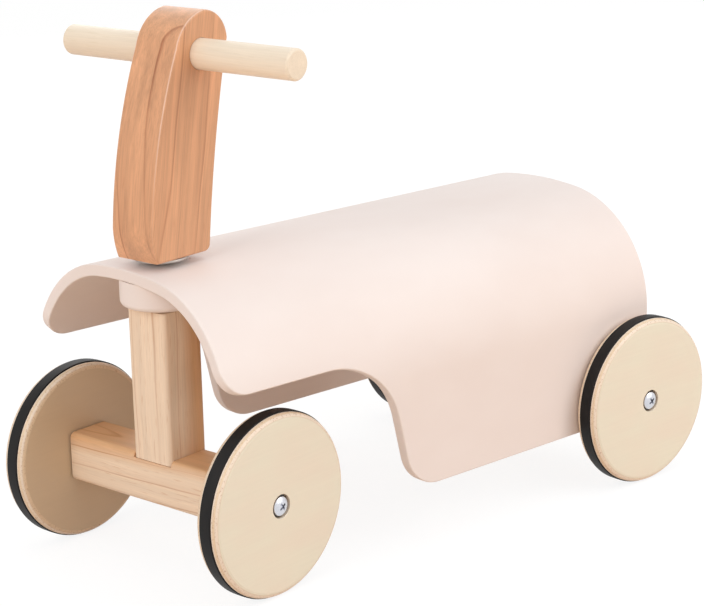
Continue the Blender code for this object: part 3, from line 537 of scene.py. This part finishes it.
toe_turn = 2 * math.atan(TOE_TUCK / TOE_RISE)
toe_round = TOE_RISE / math.sin(toe_turn)
toe_centre = (toe_round - FOOT_FRONT, HANDLE_FOOT + TOE_RISE)
heel_centre = (FOOT_BACK - HEEL_ROUND, HANDLE_FOOT + HEEL_ROUND)
toe = arc(toe_centre, toe_round, math.pi, math.pi + toe_turn, 8)
heel = arc(heel_centre, HEEL_ROUND, -math.pi / 2, 0.0, 8)
outline = toe[1:] + heel
outline += bowed(heel[-1], NAPE, -BACK_HOLLOW, 16)[1:]
outline += bowed(NAPE, (TOP_BACK, HANDLE_TOP), NAPE_BULGE, 14)[1:]
outline += bowed((TOP_BACK, HANDLE_TOP), NOSE, NOSE_BULGE, 14)[1:]
outline += bowed(NOSE, toe[0], FRONT_BULGE, 16)[1:]
form = board(outline, HANDLE_W, HANDLE_EASE, 5)
form = bore(form, BAR_R + GLUE, -HANDLE_W, HANDLE_W, Matrix.Translation((*BAR_AT, 0.0)))
bmesh.ops.transform(form, matrix=ALONG_X, verts=form.verts)
form = bore(form, BORE_R, HANDLE_FOOT - HEEL_ROUND, HANDLE_FOOT + SLEEVE_L, Matrix.Identity(4))
# Alder or cherry under oil: warm orange-brown in broad soft streaks, with few thin ring lines, one down the
# front face and one that rises backwards across the side, and a pale painted highlight along the edges near
# the head.
post_wood = solid_wood(
    "oiled_cherry", (0.17, 0.0, 0.0), ((-82.7, 76.3, 0.0), (-0.023, 0.125, 0.0)), 0.0, (30.8, 0.08, 0.0), 1.2,
    ("#D8A27B", "#955532", "#C38A62", "#D8A27B"), 0.85, 0.11, 0.28, 22.0,
)
piece("cherry_handle_post", form, post_wood, "steering", ["handle_post"], straight)


# Handlebar: a 25 mm birch dowel under clear lacquer, glued through the head of the post, sawn off and
# chamfered at both ends.
BAR_HALF = 0.1237
BAR_CHAMFER = 0.0015
BAR_SOFT = 0.0002
profile = [(0.0, BAR_HALF)]
profile += [(BAR_R - BAR_CHAMFER - 2 * BAR_SOFT, BAR_HALF), (BAR_R - BAR_CHAMFER, BAR_HALF - BAR_SOFT)]
profile += [(BAR_R - BAR_SOFT, BAR_HALF - BAR_CHAMFER), (BAR_R, BAR_HALF - BAR_CHAMFER - 3 * BAR_SOFT)]
profile += [(radius, -height) for radius, height in reversed(profile)]
form = turned(profile, 72, False)
# Lacquered birch: creamy and almost plain, with faint straight fibres along the bar.
dowel_birch = solid_wood(
    "clear_birch_dowel", (0.0, 0.0, 0.0), ((9.0, 24.0, 0.0), (0.03, 0.02, 0.0)), 0.0, (4.0, 0.14, 1.4), 1.1,
    ("#EFE0CB", "#E2CEB0", "#E2CFB3", "#EFE0CB"), 0.3, 0.03, 0.34,
)
bar_place = straight @ Matrix.Translation((0.0, *BAR_AT)) @ Matrix.Rotation(math.pi / 2, 4, "Y")
piece("birch_handlebar", form, dowel_birch, "steering", ["handlebar"], bar_place)


# Washers, sleeves, spindle and hidden screws: pressed and turned steel with bright zinc plate, and a
# nylon bush. Only the thrust washer under the post, and the spacer below it, show.
def plated(name, code, gloss):
    """Zinc plate: metal whose gloss is finely uneven, drawn at 0.8 mm so that it shows."""
    made, tree, output = finish(name)
    place = add(tree, "TexCoord").outputs["Object"]
    at = add(tree, "Mapping", {"Vector": place, "Scale": (1000 / 0.8, 1000 / 0.8, 1000 / 0.8)})
    spangle = add(tree, "TexNoise", {"Vector": at.outputs[0], "Scale": 1.0, "Detail": 3.0})
    rough = add(tree, "MapRange", {
        "Value": spangle.outputs[0], "To Min": gloss - 0.08, "To Max": gloss + 0.12,
    })
    bump = add(tree, "Bump", {"Height": spangle.outputs[0], "Strength": 0.15, "Distance": 0.00005})
    metal = add(tree, "BsdfPrincipled", {
        "Base Color": linear(code),
        "Metallic": 1.0,
        "Roughness": rough.outputs[0],
        "Normal": bump.outputs[0],
    })
    tree.links.new(metal.outputs[0], output.inputs[0])
    return made


# Plated steel: cold and bright on the screws, duller and warmer on the washers that rub.
zinc = plated("bright_zinc_plate", "#D3D4DA", 0.26)
dull_zinc = plated("worn_zinc_plate", "#BFB9B3", 0.46)
# Moulded nylon: a half-matt black with a fine even grain, drawn at 1.2 mm so that it shows.
nylon, tree, output = finish("moulded_black_nylon")
place = add(tree, "TexCoord").outputs["Object"]
matt_at = add(tree, "Mapping", {"Vector": place, "Scale": (1000 / 1.2, 1000 / 1.2, 1000 / 1.2)})
matt = add(tree, "TexNoise", {"Vector": matt_at.outputs[0], "Scale": 1.0, "Detail": 2.0})
matt_bump = add(tree, "Bump", {"Height": matt.outputs[0], "Strength": 0.2, "Distance": 0.0001})
plastic = add(tree, "BsdfPrincipled", {
    "Base Color": linear("#2A2725"), "Roughness": 0.5, "IOR": 1.53, "Normal": matt_bump.outputs[0],
})
tree.links.new(plastic.outputs[0], output.inputs[0])

SPACER_R = 0.010
SPACER_T = 0.0036
THRUST_R = 0.022
THRUST_T = 0.0022
SEAT_WASHERS = (
    ("lower", SPACER_R, SPACER_T, SEAT_TOP + GLUE),
    ("upper", THRUST_R, THRUST_T, SEAT_TOP + 2 * GLUE + SPACER_T),
)
WASHER_EASE = 0.0006
SPINDLE_HOLE = 0.0053
for word, rim, thick, low in SEAT_WASHERS:
    profile = [(SPINDLE_HOLE, thick)]
    profile += arc((rim - WASHER_EASE, thick - WASHER_EASE), WASHER_EASE, math.pi / 2, 0.0, 4)
    profile += arc((rim - WASHER_EASE, WASHER_EASE), WASHER_EASE, 0.0, -math.pi / 2, 4)
    profile.append((SPINDLE_HOLE, 0.0))
    washer_place = on_axis @ Matrix.Translation((0.0, 0.0, low))
    form = turned(profile, 72, True)
    nodes = [f"seat_washer_{word}"]
    piece(f"zinc_thrust_washer_{word}", form, dull_zinc, "frame", nodes, washer_place)
for name in ("column_washer", "steering_spindle", "column_sleeve", "handle_sleeve"):
    coat(name, zinc)
for hand in ("left", "right"):
    coat(f"block_screw_{hand}", zinc)
    coat(f"column_screw_{hand}", zinc)
coat("steering_bush", nylon)


# Wheels: 150 mm discs routed from 22 mm birch plywood, both rims rounded over with a faint step where
# the cutter met the face, grooved for the tyre, counterbored for the screw and lacquered.
WHEEL_R = 0.0747
WHEEL_T = 0.022
RIM_ROUND = 0.0047
RIM_STEP = 0.0003
FACE_EASE = 0.0004
TYRE_W = 0.012
TYRE_DEEP = 0.0022
GROOVE_R = WHEEL_R - TYRE_DEEP
BUSH_R = 0.008
COUNTERBORE_R = 0.0098
COUNTERBORE_FLOOR = 0.0177
WASHER_T = 0.001
WHEEL_GAP = WASHER_T + 2 * GLUE
FRONT_WHEEL_X = BEAM_HALF + WHEEL_GAP
REAR_WHEEL_X = SHELL_HALF_W + WHEEL_GAP
PLY_MM = 22.0 / 14

# Lacquered birch plywood: creamy face veneer with faint long figure, the inner face given a darker, warmer
# tone as painted shade, and on the cut rim pale and tan plies by turns with glue lines between and torn brown
# specks.
ply, tree, output = finish("lacquered_birch_plywood")
place = add(tree, "TexCoord").outputs["Object"]
in_mm = add(tree, "Mapping", {"Vector": place, "Scale": (1000.0, 1000.0, 1000.0)}).outputs[0]
axes = add(tree, "SeparateXYZ", {0: in_mm})
layer = add(tree, "Math", {0: axes.outputs[2], 1: 1 / PLY_MM, 2: 0.35}, operation="MULTIPLY_ADD")
within = add(tree, "Math", {0: layer.outputs[0]}, operation="FRACT")
halves = add(tree, "Math", {0: layer.outputs[0], 1: 0.5}, operation="MULTIPLY")
parity = add(tree, "Math", {0: halves.outputs[0]}, operation="FRACT")
crossed = add(tree, "Math", {0: parity.outputs[0], 1: 0.5}, operation="GREATER_THAN")
glue = add(tree, "ValToRGB", {"Fac": within.outputs[0]}, [
    (0.0, "#FFFFFF"), (0.14, "#000000"), (0.86, "#000000"), (1.0, "#FFFFFF"),
])
with_grain = add(tree, "Mapping", {"Vector": in_mm, "Scale": (1 / 2.2, 1 / 90, 1 / 2.2)})
over_grain = add(tree, "Mapping", {"Vector": in_mm, "Scale": (1 / 90, 1 / 2.2, 1 / 2.2)})
laid = add(tree, "Mix", {
    0: crossed.outputs[0], 4: with_grain.outputs[0], 5: over_grain.outputs[0],
}, data_type="VECTOR")
figure = add(tree, "TexNoise", {"Vector": laid.outputs[1], "Scale": 1.0, "Detail": 4.0, "Roughness": 0.55})
mottle_at = add(tree, "Mapping", {"Vector": in_mm, "Scale": (1 / 26, 1 / 60, 1 / 26)})
mottle = add(tree, "TexNoise", {"Vector": mottle_at.outputs[0], "Scale": 1.0, "Detail": 2.0})
front_tone = add(tree, "ValToRGB", {"Fac": mottle.outputs[0]}, [(0.32, "#E9DDCA"), (0.68, "#E8E1CD")])
# Painted shade: the wheel's inner face, within 0.6 mm of Z = 0, gets a darker, warmer tone.
painted_shade_back_face = add(tree, "Math", {0: axes.outputs[2], 1: 0.6}, operation="LESS_THAN")
veneer_and_painted_shade = add(tree, "Mix", {
    0: painted_shade_back_face.outputs[0], 6: front_tone.outputs[0], 7: linear("#D6BFA1"),
}, data_type="RGBA")
inner = add(tree, "Math", {0: axes.outputs[2], 1: 10.85, 2: 10.55}, operation="COMPARE")
core_tone = add(tree, "Mix", {
    0: crossed.outputs[0], 6: linear("#E6CEB0"), 7: linear("#EDDCC9"),
}, data_type="RGBA")
end_tone = add(tree, "Mix", {
    0: inner.outputs[0], 6: veneer_and_painted_shade.outputs[2], 7: core_tone.outputs[2],
}, data_type="RGBA")
glue_share = add(tree, "Math", {0: glue.outputs[0], 1: 0.4}, operation="MULTIPLY")
glued = add(tree, "Mix", {
    0: glue_share.outputs[0], 6: end_tone.outputs[2], 7: linear("#CDAE8C"),
}, data_type="RGBA")
streak = add(tree, "MapRange", {
    "Value": figure.outputs[0], "From Min": 0.3, "From Max": 0.7, "To Min": 0.988, "To Max": 1.01,
})
streaked = add(tree, "VectorMath", {0: glued.outputs[2], "Scale": streak.outputs[0]}, operation="SCALE")
torn_at = add(tree, "Mapping", {"Vector": in_mm, "Scale": (1 / 1.6, 1 / 1.6, 1 / 0.8)})
torn = add(tree, "TexNoise", {"Vector": torn_at.outputs[0], "Scale": 1.0, "Detail": 2.0})
speck = add(tree, "MapRange", {"Value": torn.outputs[0], "From Min": 0.56, "From Max": 0.70, "To Max": 0.6})
on_edge = add(tree, "Math", {0: speck.outputs[0], 1: inner.outputs[0]}, operation="MULTIPLY")
tone = add(tree, "Mix", {
    0: on_edge.outputs[0], 6: streaked.outputs[0], 7: linear("#B48A63"),
}, data_type="RGBA")
rough = add(tree, "MapRange", {"Value": figure.outputs[0], "To Min": 0.34, "To Max": 0.44})
bump = add(tree, "Bump", {"Height": figure.outputs[0], "Strength": 0.06, "Distance": 0.0001})
lacquer = add(tree, "BsdfPrincipled", {
    "Base Color": tone.outputs[2],
    "Roughness": rough.outputs[0],
    "IOR": 1.5,
    "Specular IOR Level": 0.4,
    "Normal": bump.outputs[0],
})
tree.links.new(lacquer.outputs[0], output.inputs[0])


def wheel_disc():
    """The plywood disc about Z, its inner face at Z = 0."""
    rim = WHEEL_R - RIM_ROUND
    low = (WHEEL_T - TYRE_W) / 2
    rounded = arc((rim, WHEEL_T - RIM_ROUND), RIM_ROUND - RIM_STEP, math.pi / 2, 0.0, 10)
    upper = [(COUNTERBORE_R, WHEEL_T - FACE_EASE), (COUNTERBORE_R + FACE_EASE, WHEEL_T)]
    upper += [(COUNTERBORE_R + (rim - COUNTERBORE_R) * i / 6, WHEEL_T) for i in range(1, 6)]
    upper += [(rim - FACE_EASE, WHEEL_T), (rim, WHEEL_T - RIM_STEP / 2)]
    for i, (radius, height) in enumerate(rounded):
        upper.append((radius + RIM_STEP * math.sin(math.pi / 2 * i / 10), height))
    lower = [(radius, WHEEL_T - height) for radius, height in reversed(upper[2:])]
    profile = [(BUSH_R + GLUE, COUNTERBORE_FLOOR), (COUNTERBORE_R, COUNTERBORE_FLOOR)] + upper
    profile += [(WHEEL_R, low + TYRE_W), (GROOVE_R, low + TYRE_W), (GROOVE_R, low), (WHEEL_R, low)]
    profile += lower + [(BUSH_R + GLUE, 0.0)]
    return turned(profile, 128, True)


corners = []
for hand, outward in (("left", 1), ("right", -1)):
    stand = Matrix.Rotation(outward * math.pi / 2, 4, "Y")
    front = straight @ Matrix.Translation((outward * FRONT_WHEEL_X, 0.0, AXLE_Z)) @ stand
    rear = on_axis @ Matrix.Translation((outward * REAR_WHEEL_X, WHEELBASE, AXLE_Z)) @ stand
    corners.append((f"front_{hand}", "steering", front, -WHEEL_GAP))
    corners.append((f"rear_{hand}", "frame", rear, -WHEEL_GAP - SHELL_T - GLUE))
for word, _, at, _ in corners:
    nodes = [f"wheel_{word}"]
    piece(f"plywood_wheel_{word}", wheel_disc(), ply, f"{word}_wheel", nodes, at, 50.0)


# Tyres: flat black rubber bands stretched into the groove, standing a little proud of the rim.
# Moulded rubber: a matt near-black, a little greyed by dust, its pebbled skin drawn at 1.4 mm to show.
TYRE_OUT_R = 0.0758
TYRE_EASE = 0.0009
TYRE_CROWN = 0.0001
rubber, tree, output = finish("moulded_black_rubber")
place = add(tree, "TexCoord").outputs["Object"]
dust_at = add(tree, "Mapping", {"Vector": place, "Scale": (1000 / 18, 1000 / 18, 1000 / 6)})
dust = add(tree, "TexNoise", {"Vector": dust_at.outputs[0], "Scale": 1.0, "Detail": 5.0})
black = add(tree, "ValToRGB", {"Fac": dust.outputs[0]}, [(0.35, "#100E0E"), (0.75, "#1C1918")])
skin_at = add(tree, "Mapping", {"Vector": place, "Scale": (1000 / 1.4, 1000 / 1.4, 1000 / 1.4)})
skin = add(tree, "TexNoise", {"Vector": skin_at.outputs[0], "Scale": 1.0, "Detail": 3.0})
skin_bump = add(tree, "Bump", {"Height": skin.outputs[0], "Strength": 0.3, "Distance": 0.0002})
skin_rough = add(tree, "MapRange", {"Value": dust.outputs[0], "To Min": 0.42, "To Max": 0.62})
band = add(tree, "BsdfPrincipled", {
    "Base Color": black.outputs[0],
    "Roughness": skin_rough.outputs[0],
    "IOR": 1.52,
    "Specular IOR Level": 0.2,
    "Normal": skin_bump.outputs[0],
})
tree.links.new(band.outputs[0], output.inputs[0])


def tyre_band():
    """The rubber band about Z, rounded at both edges and a hair higher in the middle."""
    low = (WHEEL_T - TYRE_W) / 2 + GLUE
    high = low + TYRE_W - 2 * GLUE
    edge = TYRE_OUT_R - TYRE_CROWN
    profile = [(GROOVE_R + GLUE, high)]
    profile += arc((edge - TYRE_EASE, high - TYRE_EASE), TYRE_EASE, math.pi / 2, 0.0, 5)
    profile += [(TYRE_OUT_R, WHEEL_T / 2)]
    profile += arc((edge - TYRE_EASE, low + TYRE_EASE), TYRE_EASE, 0.0, -math.pi / 2, 5)
    profile.append((GROOVE_R + GLUE, low))
    return turned(profile, 128, True)


for word, _, at, _ in corners:
    piece(f"rubber_tyre_{word}", tyre_band(), rubber, f"{word}_wheel", [f"tyre_{word}"], at)


# Wheel screws: zinc-plated pan heads with a cross recess, seated in the counterbore on the flange of a
# nylon bush, a little proud; behind each wheel a spacer washer, and a threaded insert in the beam's end.
PAN_R = 0.0080
PAN_H = 0.0040
PAN_CROWN = 0.0022
SHOULDER_R = 0.004
THREAD_R = 0.003
THREAD_L = 0.016
HEAD_EASE = 0.0004
BUSH_FLANGE_T = 0.0012
HEAD_LOW = COUNTERBORE_FLOOR + BUSH_FLANGE_T + 2 * GLUE
RECESS = ((0.0078, 0.0019), (0.0052, 0.0014))
RECESS_DEEP = 0.0030
RECESS_TURN = 0.6


def pan_screw(seat):
    """The wheel screw about Z: a domed head with a tapered cross in it, a shoulder and a thread."""
    dome_r = (PAN_R ** 2 + PAN_CROWN ** 2) / (2 * PAN_CROWN)
    turn = math.asin((PAN_R - HEAD_EASE) / dome_r)
    top = HEAD_LOW + PAN_H
    profile = arc((0.0, top - dome_r), dome_r, math.pi / 2, math.pi / 2 - turn, 8)
    profile[0] = (0.0, top)
    brim = profile[-1][1]
    profile += [(PAN_R - HEAD_EASE / 4, brim - HEAD_EASE), (PAN_R, brim - 9 * HEAD_EASE / 4)]
    profile += [(PAN_R, HEAD_LOW + HEAD_EASE / 2), (PAN_R - HEAD_EASE / 2, HEAD_LOW), (SHOULDER_R, HEAD_LOW)]
    profile += [(SHOULDER_R, seat + GLUE), (THREAD_R, seat + GLUE), (THREAD_R, seat - THREAD_L)]
    profile.append((0.0, seat - THREAD_L))
    form = turned(profile, 64, False)
    for quarter in (0, 1):
        arm = bmesh.new()
        bmesh.ops.create_cube(arm, size=1.0)
        for vert in arm.verts:
            long, wide = RECESS[0] if vert.co.z > 0 else RECESS[1]
            level = top + PAN_H / 4 if vert.co.z > 0 else top - RECESS_DEEP
            vert.co = (vert.co.x * long, vert.co.y * wide, level)
        spin = Matrix.Rotation(quarter * math.pi / 2 + RECESS_TURN, 3, "Z")
        bmesh.ops.rotate(arm, verts=arm.verts, matrix=spin)
        form = cut(form, arm)
    return form


for word, carrier, at, seat in corners:
    piece(f"zinc_wheel_screw_{word}", pan_screw(seat), zinc, carrier, [f"wheel_screw_{word}"], at)
    coat(f"wheel_washer_{word}", zinc)
    coat(f"axle_insert_{word}", zinc)
    coat(f"wheel_bush_{word}", nylon)


# Studio: a wide white floor under soft light from above, from the front and from the rider's left, weak
# fills from beside the camera and from the far side, and an even white surround.
floor_mesh = bpy.data.meshes.new("studio_floor")
floor_form = bmesh.new()
bmesh.ops.create_grid(floor_form, x_segments=1, y_segments=1, size=20.0)
floor_form.to_mesh(floor_mesh)
floor_form.free()
floor = bpy.data.objects.new("studio_floor", floor_mesh)
bpy.context.scene.collection.objects.link(floor)


def looked_at(tree):
    """Whether a surface is seen by the camera, in a reflection or through something clear."""
    ray = add(tree, "LightPath")
    seen = add(tree, "Math", {
        0: ray.outputs["Is Camera Ray"], 1: ray.outputs["Is Glossy Ray"],
    }, operation="MAXIMUM")
    clear = {0: seen.outputs[0], 1: ray.outputs["Is Transmission Ray"]}
    return add(tree, "Math", clear, operation="MAXIMUM").outputs[0]


# Matt paper sweep: white to the eye with only the shadow left on it, and a warm bounce up at the toy.
paper, tree, output = finish("white_studio_paper")
bounce = add(tree, "BsdfDiffuse", {"Color": linear("#E2C9B3")})
sheet_white = add(tree, "BsdfDiffuse", {"Color": linear("#F4F4F4")})
lit_white = add(tree, "Emission", {"Color": linear("#FFFFFF"), "Strength": 1.08})
shown = add(tree, "MixShader", {0: 0.8, 1: sheet_white.outputs[0], 2: lit_white.outputs[0]})
mixed = add(tree, "MixShader", {0: looked_at(tree), 1: bounce.outputs[0], 2: shown.outputs[0]})
tree.links.new(mixed.outputs[0], output.inputs[0])
floor_mesh.materials.append(paper)

surround = bpy.data.worlds.new("white_surround")
surround.use_nodes = True
bpy.context.scene.world = surround
surround.node_tree.nodes.clear()
tree = surround.node_tree
level = add(tree, "MapRange", {"Value": looked_at(tree), "To Min": 0.52, "To Max": 1.0})
glow = add(tree, "Background", {"Color": linear("#FFFFFF"), "Strength": level.outputs[0]})
tree.links.new(glow.outputs[0], add(tree, "OutputWorld").inputs[0])


LAMP_AIM = Vector((0.0, 0.0, 0.2))


def softbox(name, at, size, power):
    """A square lamp aimed at the middle of the toy."""
    lamp = bpy.data.lights.new(name, "AREA")
    lamp.size = size
    lamp.energy = power
    made = bpy.data.objects.new(name, lamp)
    made.location = at
    made.rotation_euler = (LAMP_AIM - Vector(at)).to_track_quat("-Z", "Y").to_euler()
    bpy.context.scene.collection.objects.link(made)


softbox("front_softbox", (0.3, -2.5, 1.4), 1.6, 24.0)
softbox("side_softbox", (2.2, 1.2, 1.4), 1.8, 28.0)
softbox("camera_fill", (1.75, -1.5, 1.2), 0.35, 1.5)
softbox("far_side_fill", (-2.4, 0.7, 1.2), 1.6, 12.0)
ceiling = bpy.data.lights.new("overhead_diffuser", "SUN")
ceiling.energy = 0.6
ceiling.angle = math.radians(60.0)
overhead = bpy.data.objects.new("overhead_diffuser", ceiling)
overhead.rotation_euler = Vector((-0.3, -0.15, -1.0)).to_track_quat("-Z", "Y").to_euler()
bpy.context.scene.collection.objects.link(overhead)

# Camera: the photograph's own station, found by fitting wheels, post, bar and shell to it.
IMAGE_W = 704
FOCAL_PX = 2079.72
SENSOR_MM = 36.0
STATION = (1.30547, -0.94337 + FRONT_AXLE_Y, 0.6666)
azimuth, pitch, roll = (math.radians(angle) for angle in (48.77, 15.64, -1.31))
back = Vector((math.sin(azimuth) * math.cos(pitch), -math.cos(azimuth) * math.cos(pitch), math.sin(pitch)))
right = Vector((math.cos(azimuth), math.sin(azimuth), 0.0))
up = right.cross(-back)
tilted_right = math.cos(roll) * right + math.sin(roll) * up
tilted_up = math.cos(roll) * up - math.sin(roll) * right
lens = bpy.data.cameras.new("photo_camera")
lens.sensor_width = SENSOR_MM
lens.lens = SENSOR_MM * FOCAL_PX / IMAGE_W
lens.clip_end = 60.0
camera = bpy.data.objects.new("photo_camera", lens)
station = Matrix((tilted_right, tilted_up, back)).transposed().to_4x4()
station.translation = STATION
camera.matrix_world = station
bpy.context.scene.collection.objects.link(camera)
bpy.context.scene.camera = camera
bpy.context.scene.view_settings.view_transform = "Standard"
